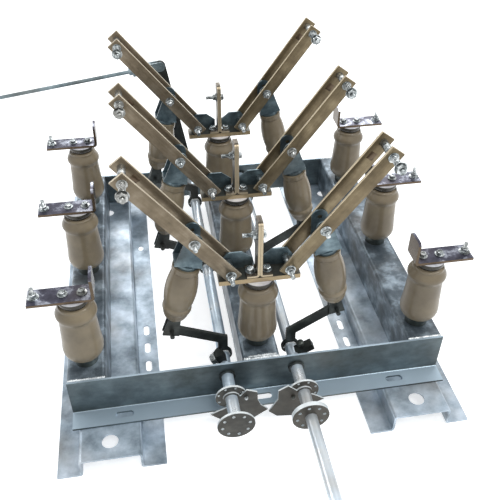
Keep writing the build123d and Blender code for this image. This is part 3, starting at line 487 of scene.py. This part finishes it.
bolt_head = joined([make_washer(0.0092, 0.0016), lifted(make_hexagon(0.0074, 0.0055), 0.0016)],
                   "bolt_head")
small_head = joined([make_washer(0.0087, 0.0014), lifted(make_hexagon(0.0062, 0.0058), 0.0014)],
                    "small_head")
nut_and_end = joined([make_washer(0.0095, 0.0016), lifted(make_hexagon(0.0074, 0.0062), 0.0016),
                      lifted(make_thread(0.0038, 0.008), 0.0078)], "nut_and_end")
tall_stud = joined([make_washer(0.0099, 0.0016), lifted(make_washer(0.0085, 0.0018), 0.0016),
                    lifted(make_hexagon(0.0069, 0.0058), 0.0034),
                    lifted(make_thread(0.0035, 0.0108), 0.0092)], "tall_stud")
print("washers, hexagons and threads modelled once")

# %% [markdown]
# At the tip of each blade a long bolt presses the two bars onto the contact plate. It carries
# a coil spring between the front bar and a cup washer, so that the pressure stays even as the
# copper wears. The coil is a small ring swept by a Screw modifier, the usual way to a helix.


# %% Master for the spring bolt
SPRING_LENGTH = 0.026


def make_spring(radius, wire, length, turns):
    bpy.ops.mesh.primitive_circle_add(vertices=8, radius=wire, location=(radius, 0, wire),
                                      rotation=(math.radians(90), 0, 0))
    spring = settle(bpy.context.object)
    screw = spring.modifiers.new("coil", "SCREW")
    screw.axis = "Z"
    screw.screw_offset = (length - 2 * wire) / turns
    screw.iterations = turns
    screw.steps = 24
    screw.render_steps = 24
    screw.use_normal_calculate = True
    only(spring)
    bpy.ops.object.modifier_apply(modifier="coil")
    return smooth(spring, 60)


def make_cup(low, high, height):
    """A cup washer: a cone that widens towards the nut, with a turned rim."""
    bpy.ops.mesh.primitive_cone_add(vertices=40, radius1=low, radius2=high, depth=height,
                                    location=(0, 0, height / 2))
    cup = settle(bpy.context.object)
    pick_faces(cup, lambda centre, normal: normal.z > 0.9)
    bpy.ops.mesh.inset(thickness=0.0012, depth=0.0)
    bpy.ops.mesh.extrude_region_move(TRANSFORM_OT_translate={"value": (0, 0, -0.0012)})
    return smooth(cup, 30)


spring_bolt = joined(
    [
        make_washer(0.0085, 0.0015),
        make_spring(0.0046, 0.0009, SPRING_LENGTH, 7),
        make_thread(0.0032, SPRING_LENGTH, 0.002),
        lifted(make_cup(0.0058, 0.0104, 0.005), SPRING_LENGTH),
        lifted(make_hexagon(0.0088, 0.0078), SPRING_LENGTH + 0.005),
        lifted(make_thread(0.0039, 0.0048), SPRING_LENGTH + 0.013),
    ],
    "spring_bolt",
)
print("spring bolt", [round(size * 1000, 1) for size in spring_bolt.dimensions], "mm")


# %% [markdown]
# The hinge bolt has a wide ring, a nut and a long threaded end in front, and between the bars
# a bright spacer sleeve. The tip has such a sleeve too, and behind its back bar a wide dark
# washer with a round head.


# %% Masters for the hinge bolt, sleeves and round head
def make_sleeve(radius, length):
    bpy.ops.mesh.primitive_cylinder_add(vertices=40, radius=radius, depth=length,
                                        location=(0, 0, length / 2))
    sleeve = settle(bpy.context.object)
    pick_faces(sleeve, lambda centre, normal: abs(normal.z) > 0.9)
    bpy.ops.mesh.bevel(offset=radius * 0.12, segments=2, affect="EDGES")
    return smooth(sleeve, 40)


def make_round_head(radius, height):
    bpy.ops.mesh.primitive_cylinder_add(vertices=32, radius=radius, depth=height * 0.6,
                                        location=(0, 0, height * 0.3))
    head = settle(bpy.context.object)
    pick_faces(head, lambda centre, normal: normal.z > 0.9)
    bpy.ops.mesh.inset(thickness=radius * 0.16, depth=height * 0.25)
    bpy.ops.mesh.inset(thickness=radius * 0.3, depth=height * 0.15)
    return smooth(head, 60)


hinge_end = joined([make_washer(0.009, 0.002), lifted(make_hexagon(0.0074, 0.0064), 0.002),
                    lifted(make_thread(0.0038, 0.0148), 0.0085)], "hinge_end")
tip_back = joined([make_washer(0.0117, 0.002), lifted(make_round_head(0.0064, 0.005), 0.002)],
                  "tip_back")
print("hinge end", [round(size * 1000, 1) for size in hinge_end.dimensions], "mm")

# %% [markdown]
# A post insulator is turned from a wet clay blank before it is fired: a bulged foot, a waist
# that narrows upwards, then a crisp bead and a conical shoulder. Here it is turned in the same
# spirit. A flat disc is extruded upwards step by step, and each step is scaled to the radius
# of the profile. The insert on top is an iron socket, set in cement. Its top face gets a
# near-white painted light, and its side a dark painted shade.


# %% Turned posts
def turned(profile, corners=64):
    """Extrude a disc up through the (radius, height) pairs of a profile, from its first one."""
    radius, height = profile[0]
    bpy.ops.mesh.primitive_circle_add(vertices=corners, radius=radius, fill_type="NGON",
                                      location=(0, 0, height))
    piece = settle(bpy.context.object)
    pick_faces(piece, lambda centre, normal: True)
    for next_radius, next_height in profile[1:]:
        bpy.ops.mesh.extrude_region_move(
            TRANSFORM_OT_translate={"value": (0, 0, next_height - height)}
        )
        scale = next_radius / radius
        bpy.ops.transform.resize(value=(scale, scale, 1))
        radius, height = next_radius, next_height
    bpy.ops.mesh.select_all(action="SELECT")
    bpy.ops.mesh.normals_make_consistent(inside=False)
    return smooth(piece, 40)


POST_BASE = 0.1411
post_master = turned([
    (0.0262, 0.0), (0.0308, 0.0042), (0.0338, 0.0092), (0.0353, 0.0148), (0.0357, 0.0205),
    (0.0353, 0.0265), (0.0345, 0.034), (0.0336, 0.046), (0.0328, 0.06), (0.032, 0.075),
    (0.0314, 0.086), (0.0314, 0.0915), (0.0322, 0.0935), (0.0338, 0.0955), (0.035, 0.0985),
    (0.0352, 0.1018), (0.0346, 0.1045), (0.0326, 0.1085), (0.0306, 0.112), (0.0288, 0.1148),
    (0.0282, 0.1162), (0.0284, 0.1178), (0.0278, 0.1196), (0.0262, 0.1207),
])
post_tops = turned([(0.0222, 0.1205), (0.0222, 0.1256), (0.0256, 0.1262), (0.0262, 0.127),
                    (0.0262, 0.1342), (0.0258, 0.1347)])
COLUMNS = {"left": -0.3105, "centre": 0.0, "right": 0.3105}
ROWS = (-0.25, 0.0, 0.25)
inserts = []
for column, x in COLUMNS.items():
    posts = []
    for y in ROWS:
        place = Matrix.Translation((x, y, POST_BASE))
        posts.append(copied(post_master, place, "post"))
        inserts.append(copied(post_tops, place, "insert"))
    posts = dressed(joined(posts, f"{column}_porcelain_posts"), porcelain, "frame")
    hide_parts(f"{column}_post_insulators")
inserts = dressed(joined(inserts, "post_sockets"), insert_painted_light, "frame")
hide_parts("post_top_inserts")
bpy.data.objects.remove(post_master)
bpy.data.objects.remove(post_tops)
print("posts turned")

# %% [markdown]
# These numbers repeat the CAD source's: the places of hinge, fork bolt and tip on a blade, and
# how far the two bars stand from the row's middle. The front bar leans inwards to the hinge.

# %% Places on the blades
SIDES = {"left": -1, "right": 1}
ANGLES = {"left": math.radians(LEFT_BLADE_ANGLE), "right": math.radians(RIGHT_BLADE_ANGLE)}
HINGE = (0.05, 0.302)
BLADE_REACH = 0.252
FORK_REACH = 0.093
BAR_GAUGE = 0.005
BAR_WIDTH = 0.026
BAR_END = 0.013
FRONT_AT_HINGE = 0.0162
BACK_AT_HINGE = 0.0192
AT_TIP = 0.0203


def blade_point(side, reach, across=0.0):
    """The x and z of a point this far along a blade and this far across it."""
    angle = ANGLES[side]
    along = HINGE[0] + reach * math.cos(angle) - across * math.sin(angle)
    up = HINGE[1] + reach * math.sin(angle) + across * math.cos(angle)
    return SIDES[side] * along, up


def bar_face(reach, at_hinge):
    """How far a bar's inner face stands from the row's middle at this reach."""
    return at_hinge + (AT_TIP - at_hinge) * reach / BLADE_REACH


# %% [markdown]
# A sawn copper bar has worn, rounded edges, and they show as thin bright lines. The CAD bars
# are sharp, so the bars are modelled again with a small bevel: a cube is stretched to the
# bar's size, its long edges are bevelled, and copies are turned onto the twelve blades.

# %% Blade bars with worn edges
bpy.ops.mesh.primitive_cube_add(size=1)
bar_master = bpy.context.object
bar_master.scale = (BLADE_REACH + 2 * BAR_END, BAR_GAUGE, BAR_WIDTH)
settle(bar_master)
pick_faces(bar_master, lambda centre, normal: True)
bpy.ops.mesh.bevel(offset=0.0007, segments=2, affect="EDGES")
smooth(bar_master, 50)

for side in SIDES:
    bars = []
    for y in ROWS:
        for face, at_hinge in ((-1, FRONT_AT_HINGE), (1, BACK_AT_HINGE)):
            hinge_x, hinge_z = blade_point(side, 0)
            tip_x, tip_z = blade_point(side, BLADE_REACH)
            start = Vector((hinge_x, y + face * (at_hinge + BAR_GAUGE / 2), hinge_z))
            end = Vector((tip_x, y + face * (AT_TIP + BAR_GAUGE / 2), tip_z))
            run = (end - start).normalized()
            gauge = (Vector((0, 1, 0)) - run * run.y).normalized()
            width = run.cross(gauge)
            turn = Matrix((run, gauge, width)).transposed().to_4x4()
            bars.append(copied(bar_master, Matrix.Translation((start + end) / 2) @ turn, "bar"))
    bars = joined(bars, f"{side}_copper_bars")
    dressed(bars, left_copper if side == "left" else right_copper, f"{side}_blades")
    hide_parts(f"{side}_blade_bars")
bpy.data.objects.remove(bar_master)
print("twelve blade bars")

# %% [markdown]
# The bolts of the blades are placed from the same numbers. They replace the CAD's plain bolts,
# and the parts are joined, bright ones and dark ones apart, because they differ in finish.

# %% Blade bolts, springs and sleeves
CLEARANCE = 0.0001
SLEEVE_R = 0.0065
HINGE_SLEEVE_START = 0.0155
TIP_SLEEVE_START = 0.0202
hinge_sleeve = make_sleeve(SLEEVE_R, 0.0316)
tip_sleeve = make_sleeve(SLEEVE_R, 0.0404)
for side in SIDES:
    bright, dark = [], []
    for y in ROWS:
        for reach in (0.0, FORK_REACH, BLADE_REACH):
            x, z = blade_point(side, reach)
            front = y - bar_face(reach, FRONT_AT_HINGE) - BAR_GAUGE - CLEARANCE
            back = y + bar_face(reach, BACK_AT_HINGE) + BAR_GAUGE + CLEARANCE
            forward = facing((x, front, z), (0, -1, 0))
            backward = facing((x, back, z), (0, 1, 0))
            if reach == 0.0:
                bright.append(copied(hinge_end, forward, "end"))
                inside = facing((x, y + HINGE_SLEEVE_START, z), (0, -1, 0))
                bright.append(copied(hinge_sleeve, inside, "sleeve"))
                bright.append(copied(bolt_head, backward, "head"))
            elif reach == FORK_REACH:
                bright.append(copied(nut_and_end, forward, "end"))
                bright.append(copied(bolt_head, backward, "head"))
            else:
                bright.append(copied(spring_bolt, forward, "end"))
                inside = facing((x, y + TIP_SLEEVE_START, z), (0, -1, 0))
                bright.append(copied(tip_sleeve, inside, "sleeve"))
                dark.append(copied(tip_back, backward, "head"))
    bright = dressed(joined(bright, f"{side}_blade_fasteners"), bright_zinc,
                     f"{side}_blades")
    dark = dressed(joined(dark, f"{side}_tip_heads"), cap_steel, f"{side}_blades")
    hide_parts(f"{side}_blade_bolts")
print("blade bolts placed")

# %% [markdown]
# Inside the bars near each tip sits a small dark contact pad, and the bars press with it on
# the contact plate. It is a thin block with bevelled edges.

# %% Contact pads
PAD_LENGTH = 0.014
PAD_WIDTH = 0.012
PAD_GAUGE = 0.0002
PAD_REACH = 0.224
bpy.ops.mesh.primitive_cube_add(size=1)
pad = bpy.context.object
pad.scale = (PAD_LENGTH, PAD_GAUGE, PAD_WIDTH)
settle(pad)
pick_faces(pad, lambda centre, normal: True)
bpy.ops.mesh.bevel(offset=0.00005, segments=1, affect="EDGES")
smooth(pad, 50)
for side in SIDES:
    pads = []
    for y in ROWS:
        for face, at_hinge in ((-1, FRONT_AT_HINGE), (1, BACK_AT_HINGE)):
            x, z = blade_point(side, PAD_REACH)
            inner = y + face * (bar_face(PAD_REACH, at_hinge) - CLEARANCE)
            turn = Matrix.Rotation(-SIDES[side] * ANGLES[side], 4, "Y")
            pads.append(copied(pad, Matrix.Translation((x, inner, z)) @ turn, "pad"))
    pads = joined(pads, f"{side}_contact_pads")
    dressed(pads, edge_copper, f"{side}_blades")
bpy.data.objects.remove(pad)

# %% [markdown]
# Three fasteners hold each outer contact: a hexagon bolt over the post, one beside it, and a
# stud with a nut at the outer end for the cable. On the hinge brackets two bolts hold the feet
# of the centre terminal, and a long bolt runs across its two leaves.

# %% Bolts of the contacts and terminals
BAR_TOP = 0.281
TERMINAL_FOOT_TOP = 0.289
CONTACT_BOLTS_X = (0.295, 0.3265)
CONTACT_STUD_X = 0.373
TERMINAL_BOLT_X = 0.0142
fixed = []
for out in SIDES.values():
    for y in ROWS:
        for x in CONTACT_BOLTS_X:
            fixed.append(copied(small_head, Matrix.Translation((out * x, y, BAR_TOP)), "bolt"))
        stud_place = (out * CONTACT_STUD_X, y, BAR_TOP)
        fixed.append(copied(tall_stud, Matrix.Translation(stud_place), "stud"))
        under = facing((out * CONTACT_STUD_X, y, BAR_TOP - BAR_GAUGE), (0, 0, -1))
        fixed.append(copied(bolt_head, under, "stud_head"))
TERMINAL_BOLT_Z = 0.366
LEAF_OUT = 0.0042
for y in ROWS:
    for out in SIDES.values():
        foot_place = (out * TERMINAL_BOLT_X, y, TERMINAL_FOOT_TOP)
        fixed.append(copied(bolt_head, Matrix.Translation(foot_place), "bolt"))
    fixed.append(copied(hinge_end, facing((-LEAF_OUT, y, TERMINAL_BOLT_Z), (-1, 0, 0)), "end"))
    fixed.append(copied(bolt_head, facing((LEAF_OUT, y, TERMINAL_BOLT_Z), (1, 0, 0)), "head"))
fixed = dressed(joined(fixed, "contact_fasteners"), bright_zinc, "frame")
print("contact fasteners", len(fixed.data.polygons), "faces")

# %% [markdown]
# The copper shows where the tin ends, on the sawn edges of the contact bars. A thin strip on
# each long edge gives that brown line under the grey top.

# %% Sawn copper edges of the contact bars
CONTACT_HALF = 0.0194
STRIP_LENGTH = 0.1015
STRIP_HEIGHT = 0.0046
STRIP_GAUGE = 0.0003
STRIP_X = 0.332
STRIP_Z = 0.2785
bpy.ops.mesh.primitive_cube_add(size=1)
strip = bpy.context.object
strip.scale = (STRIP_LENGTH, STRIP_GAUGE, STRIP_HEIGHT)
settle(strip)
pick_faces(strip, lambda centre, normal: abs(normal.y) > 0.9)
bpy.ops.mesh.inset(thickness=0.0004, depth=0.0001)
smooth(strip, 30)
strips = []
for out in SIDES.values():
    for y in ROWS:
        for face in (-1, 1):
            place = (out * STRIP_X, y + face * CONTACT_HALF, STRIP_Z)
            strips.append(copied(strip, Matrix.Translation(place), "strip"))
strips = dressed(joined(strips, "contact_copper_edges"), edge_copper, "frame")
bpy.data.objects.remove(strip)

# %% [markdown]
# Each stop lug carries an adjusting screw: a large hexagon on the left one and a round head on
# the right one. A screw stands square on its lug, so its direction comes from the lug's slant.

# %% Screws of the stop lugs
SHAFT = (0.064, 0.092)
LUG_Y = -0.271
big_hexagon = joined([make_washer(0.012, 0.002), lifted(make_hexagon(0.0104, 0.009), 0.002)],
                     "big_hexagon")
round_screw = joined([make_sleeve(0.0045, 0.006), lifted(make_round_head(0.0072, 0.007), 0.006)],
                     "round_screw")
LUG_SCREWS = {"left": (65.0, 0.019, big_hexagon), "right": (28.0, 0.024, round_screw)}
LUG_HALF_HEIGHT = 0.0075
for side, (degrees, along, master) in LUG_SCREWS.items():
    slant = math.radians(degrees)
    out = SIDES[side]
    run = Vector((out * math.cos(slant), 0, math.sin(slant)))
    normal = Vector((0, -1, 0)).cross(run)
    place = Vector((out * SHAFT[0], LUG_Y, SHAFT[1])) + run * along + normal * LUG_HALF_HEIGHT
    screw = copied(master, facing(place, normal), f"{side}_lug_screw")
    dressed(screw, bright_zinc if side == "left" else cap_steel, f"{side}_shaft")

# %% [markdown]
# A small stud is riveted to each lock plate. The left one is bright and the right one dark.

# %% Studs on the lock plates
LOCK_STUDS = {"left": (-0.0377, -0.357, 0.0903), "right": (0.0448, -0.365, 0.0847)}
lock_stud = joined([make_sleeve(0.0036, 0.0025), lifted(make_round_head(0.003, 0.0025), 0.0025)],
                   "lock_stud")
for side, place in LOCK_STUDS.items():
    stud = copied(lock_stud, facing(place, (0, -1, 0)), f"{side}_lock_stud")
    dressed(stud, bright_zinc if side == "left" else cap_steel, f"{side}_shaft")

# %% [markdown]
# Weld beads join the sheets of the frame, the levers and the lugs to the shafts. A bead is a
# row of drops, each frozen before the next one falls. Here it is drawn out of a small disc:
# extruded along the seam, wide at each drop and narrow between two, and a little uneven with a
# fixed seed, so that every run gives the same bead.


# %% Weld beads
def weld_bead(start, end, radius, seed):
    """A row of drops from start to end."""
    dice = random.Random(seed)
    start, end = Vector(start), Vector(end)
    reach = end - start
    steps = 2 * max(3, int(reach.length / (radius * 1.2)))
    bpy.ops.mesh.primitive_circle_add(vertices=10, radius=radius * 0.4, fill_type="NGON",
                                      location=start,
                                      rotation=reach.to_track_quat("Z", "Y").to_euler())
    bead = settle(bpy.context.object)
    pick_faces(bead, lambda centre, normal: True)
    centre, width = start, 0.4
    for step in range(1, steps + 1):
        wander = Vector([dice.uniform(-0.12, 0.12) * radius for _ in range(3)])
        place = start.lerp(end, step / steps) + wander
        bpy.ops.mesh.extrude_region_move(
            TRANSFORM_OT_translate={"value": place - centre}
        )
        crest = dice.uniform(0.85, 1.2) if step % 2 else 0.7
        next_width = crest if step < steps else 0.35
        scale = next_width / width
        bpy.ops.transform.resize(value=(scale, scale, scale), center_override=place)
        centre, width = place, next_width
    bpy.ops.mesh.select_all(action="SELECT")
    bpy.ops.mesh.normals_make_consistent(inside=False)
    return smooth(bead, 70)


WEB = -0.3
BEAM_TOP = 0.1215
CHANNEL_INNER_X = 0.2775
CHANNEL_MIDDLE_X = 0.3103
BACK_SEAM_Y = 0.35
upright_bead = weld_bead((0, 0, 0.046), (0, 0, 0.118), 0.0022, 3)
level_bead = weld_bead((-0.0325, 0, 0), (0.0325, 0, 0), 0.0024, 4)
frame_beads = [
    weld_bead((-0.033, WEB + 0.002, BEAM_TOP), (0.033, WEB + 0.002, BEAM_TOP), 0.0034, 1),
    weld_bead((-0.024, WEB + 0.006, BEAM_TOP), (0.029, WEB + 0.007, BEAM_TOP), 0.0028, 2),
]
for out in SIDES.values():
    for master, place in ((upright_bead, (out * CHANNEL_INNER_X, WEB + 0.0012, 0)),
                          (level_bead, (out * CHANNEL_MIDDLE_X, WEB + 0.002, BEAM_TOP)),
                          (level_bead, (out * CHANNEL_MIDDLE_X, BACK_SEAM_Y, BEAM_TOP))):
        frame_beads.append(copied(master, Matrix.Translation(place), "bead"))
dressed(joined(frame_beads, "frame_weld_beads"), weld_metal, "frame")

HUB_R = 0.0125
HUB_HALF = 0.0042
chords = []
for face in (-1, 1):
    around = []
    for step in range(4):
        angle = math.radians(200 * step / 3 - 10)
        around.append((HUB_R * math.cos(angle), face * HUB_HALF, HUB_R * math.sin(angle)))
    for first, second in zip(around, around[1:]):
        chords.append(weld_bead(first, second, 0.0018, len(chords)))
lever_bead = joined(chords, "lever_bead")
for side, out in SIDES.items():
    beads = [copied(lever_bead, Matrix.Translation((out * SHAFT[0], y, SHAFT[1])), "bead")
             for y in ROWS]
    dressed(joined(beads, f"{side}_lever_beads"), weld_metal, f"{side}_shaft")
print("weld beads done")

# %% [markdown]
# The masters have served and are removed, so that only placed pieces are left.

# %% Remove the masters
for master in (bolt_head, small_head, nut_and_end, tall_stud, spring_bolt, hinge_end, tip_back,
               hinge_sleeve, tip_sleeve, big_hexagon, round_screw, lock_stud, upright_bead,
               level_bead, lever_bead):
    bpy.data.objects.remove(master)

# %% [markdown]
# The floor is a plain pale sheet that keeps the machine's shadow. The photograph's background
# is pure white, so what the camera or a mirror-like surface sees of floor and world gets some
# extra white.



# %% Floor
def seen_directly(tree):
    """A socket that is 1 for camera, glossy and transmission rays, and 0 for the others."""
    rays = add_node(tree, "ShaderNodeLightPath")
    straight = add_node(tree, "ShaderNodeMath",
                        {0: rays.outputs["Is Camera Ray"], 1: rays.outputs["Is Glossy Ray"]},
                        operation="MAXIMUM")
    return add_node(tree, "ShaderNodeMath",
                    {0: straight.outputs[0], 1: rays.outputs["Is Transmission Ray"]},
                    operation="MAXIMUM").outputs[0]


bpy.ops.mesh.primitive_plane_add(size=14, location=(0, 0, -0.0005))
floor = bpy.context.object
floor.name = "studio_floor"
floor_paint, tree, output, place = new_material("floor_paint")
paint = add_node(tree, "ShaderNodeBsdfDiffuse", {"Color": linear("#f0f0f0")})
white = add_node(tree, "ShaderNodeEmission", {"Color": (1, 1, 1, 1), "Strength": 0.62})
both = add_node(tree, "ShaderNodeAddShader",
                {0: paint.outputs["BSDF"], 1: white.outputs["Emission"]})
shown = add_node(tree, "ShaderNodeMixShader",
                 {"Fac": seen_directly(tree), 1: paint.outputs["BSDF"], 2: both.outputs["Shader"]})
tree.links.new(shown.outputs["Shader"], output.inputs["Surface"])
floor.data.materials.append(floor_paint)

# %% [markdown]
# The picture is taken from above the front left corner, with a normal lens. The place and the
# three directions were solved from the posts, shafts and frame edges in the photograph.

# %% Camera
camera_data = bpy.data.cameras.new("view_camera")
camera_data.lens = 47.0
camera_data.sensor_width = 36.0
camera = bpy.data.objects.new("view_camera", camera_data)
bpy.context.collection.objects.link(camera)
right = Vector((0.98536, -0.17023, 0.00916))
up = Vector((0.10045, 0.62317, 0.77561))
forward = Vector((0.13774, 0.76334, -0.63115))
turn = Matrix((right, up, -forward)).transposed().to_4x4()
camera.matrix_world = Matrix.Translation((-0.1634, -1.0722, 1.0146)) @ turn
bpy.context.scene.camera = camera

# %% [markdown]
# Three large soft lamps and an even pale world light the machine at a plain level, at which a
# colour renders about as it is written. A fourth, small one stands high in front: it is what
# draws the short sharp highlights on the shoulders of the glazed posts.

# %% Lights and world
world = bpy.data.worlds.new("studio_world")
bpy.context.scene.world = world
world.use_nodes = True
tree = world.node_tree
tree.nodes.clear()
output = add_node(tree, "ShaderNodeOutputWorld")
glow = add_node(tree, "ShaderNodeBackground", {"Color": linear("#e2e9ee"), "Strength": 0.6})
white = add_node(tree, "ShaderNodeBackground", {"Color": (1, 1, 1, 1), "Strength": 1.0})
mixed = add_node(tree, "ShaderNodeMixShader",
                 {"Fac": seen_directly(tree), 1: glow.outputs["Background"],
                  2: white.outputs["Background"]})
tree.links.new(mixed.outputs["Shader"], output.inputs["Surface"])


def softbox(name, place, size, watts, target=(0, 0, 0.2)):
    light = bpy.data.lights.new(name, "AREA")
    light.shape = "RECTANGLE"
    light.size, light.size_y = size
    light.energy = watts
    lamp = bpy.data.objects.new(name, light)
    lamp.location = place
    lamp.rotation_euler = (Vector(target) - Vector(place)).to_track_quat("-Z", "Y").to_euler()
    bpy.context.collection.objects.link(lamp)
    return lamp


softbox("key_softbox", (1.4, -0.6, 2.4), (1.0, 1.6), 42)
softbox("fill_softbox", (-2.2, 0.4, 1.6), (1.4, 1.4), 22)
softbox("back_softbox", (0.4, 2.4, 1.8), (2.0, 1.0), 22)
softbox("highlight_lamp", (0.25, -1.7, 2.5), (0.5, 0.3), 12)
bpy.context.scene.view_settings.view_transform = "Standard"
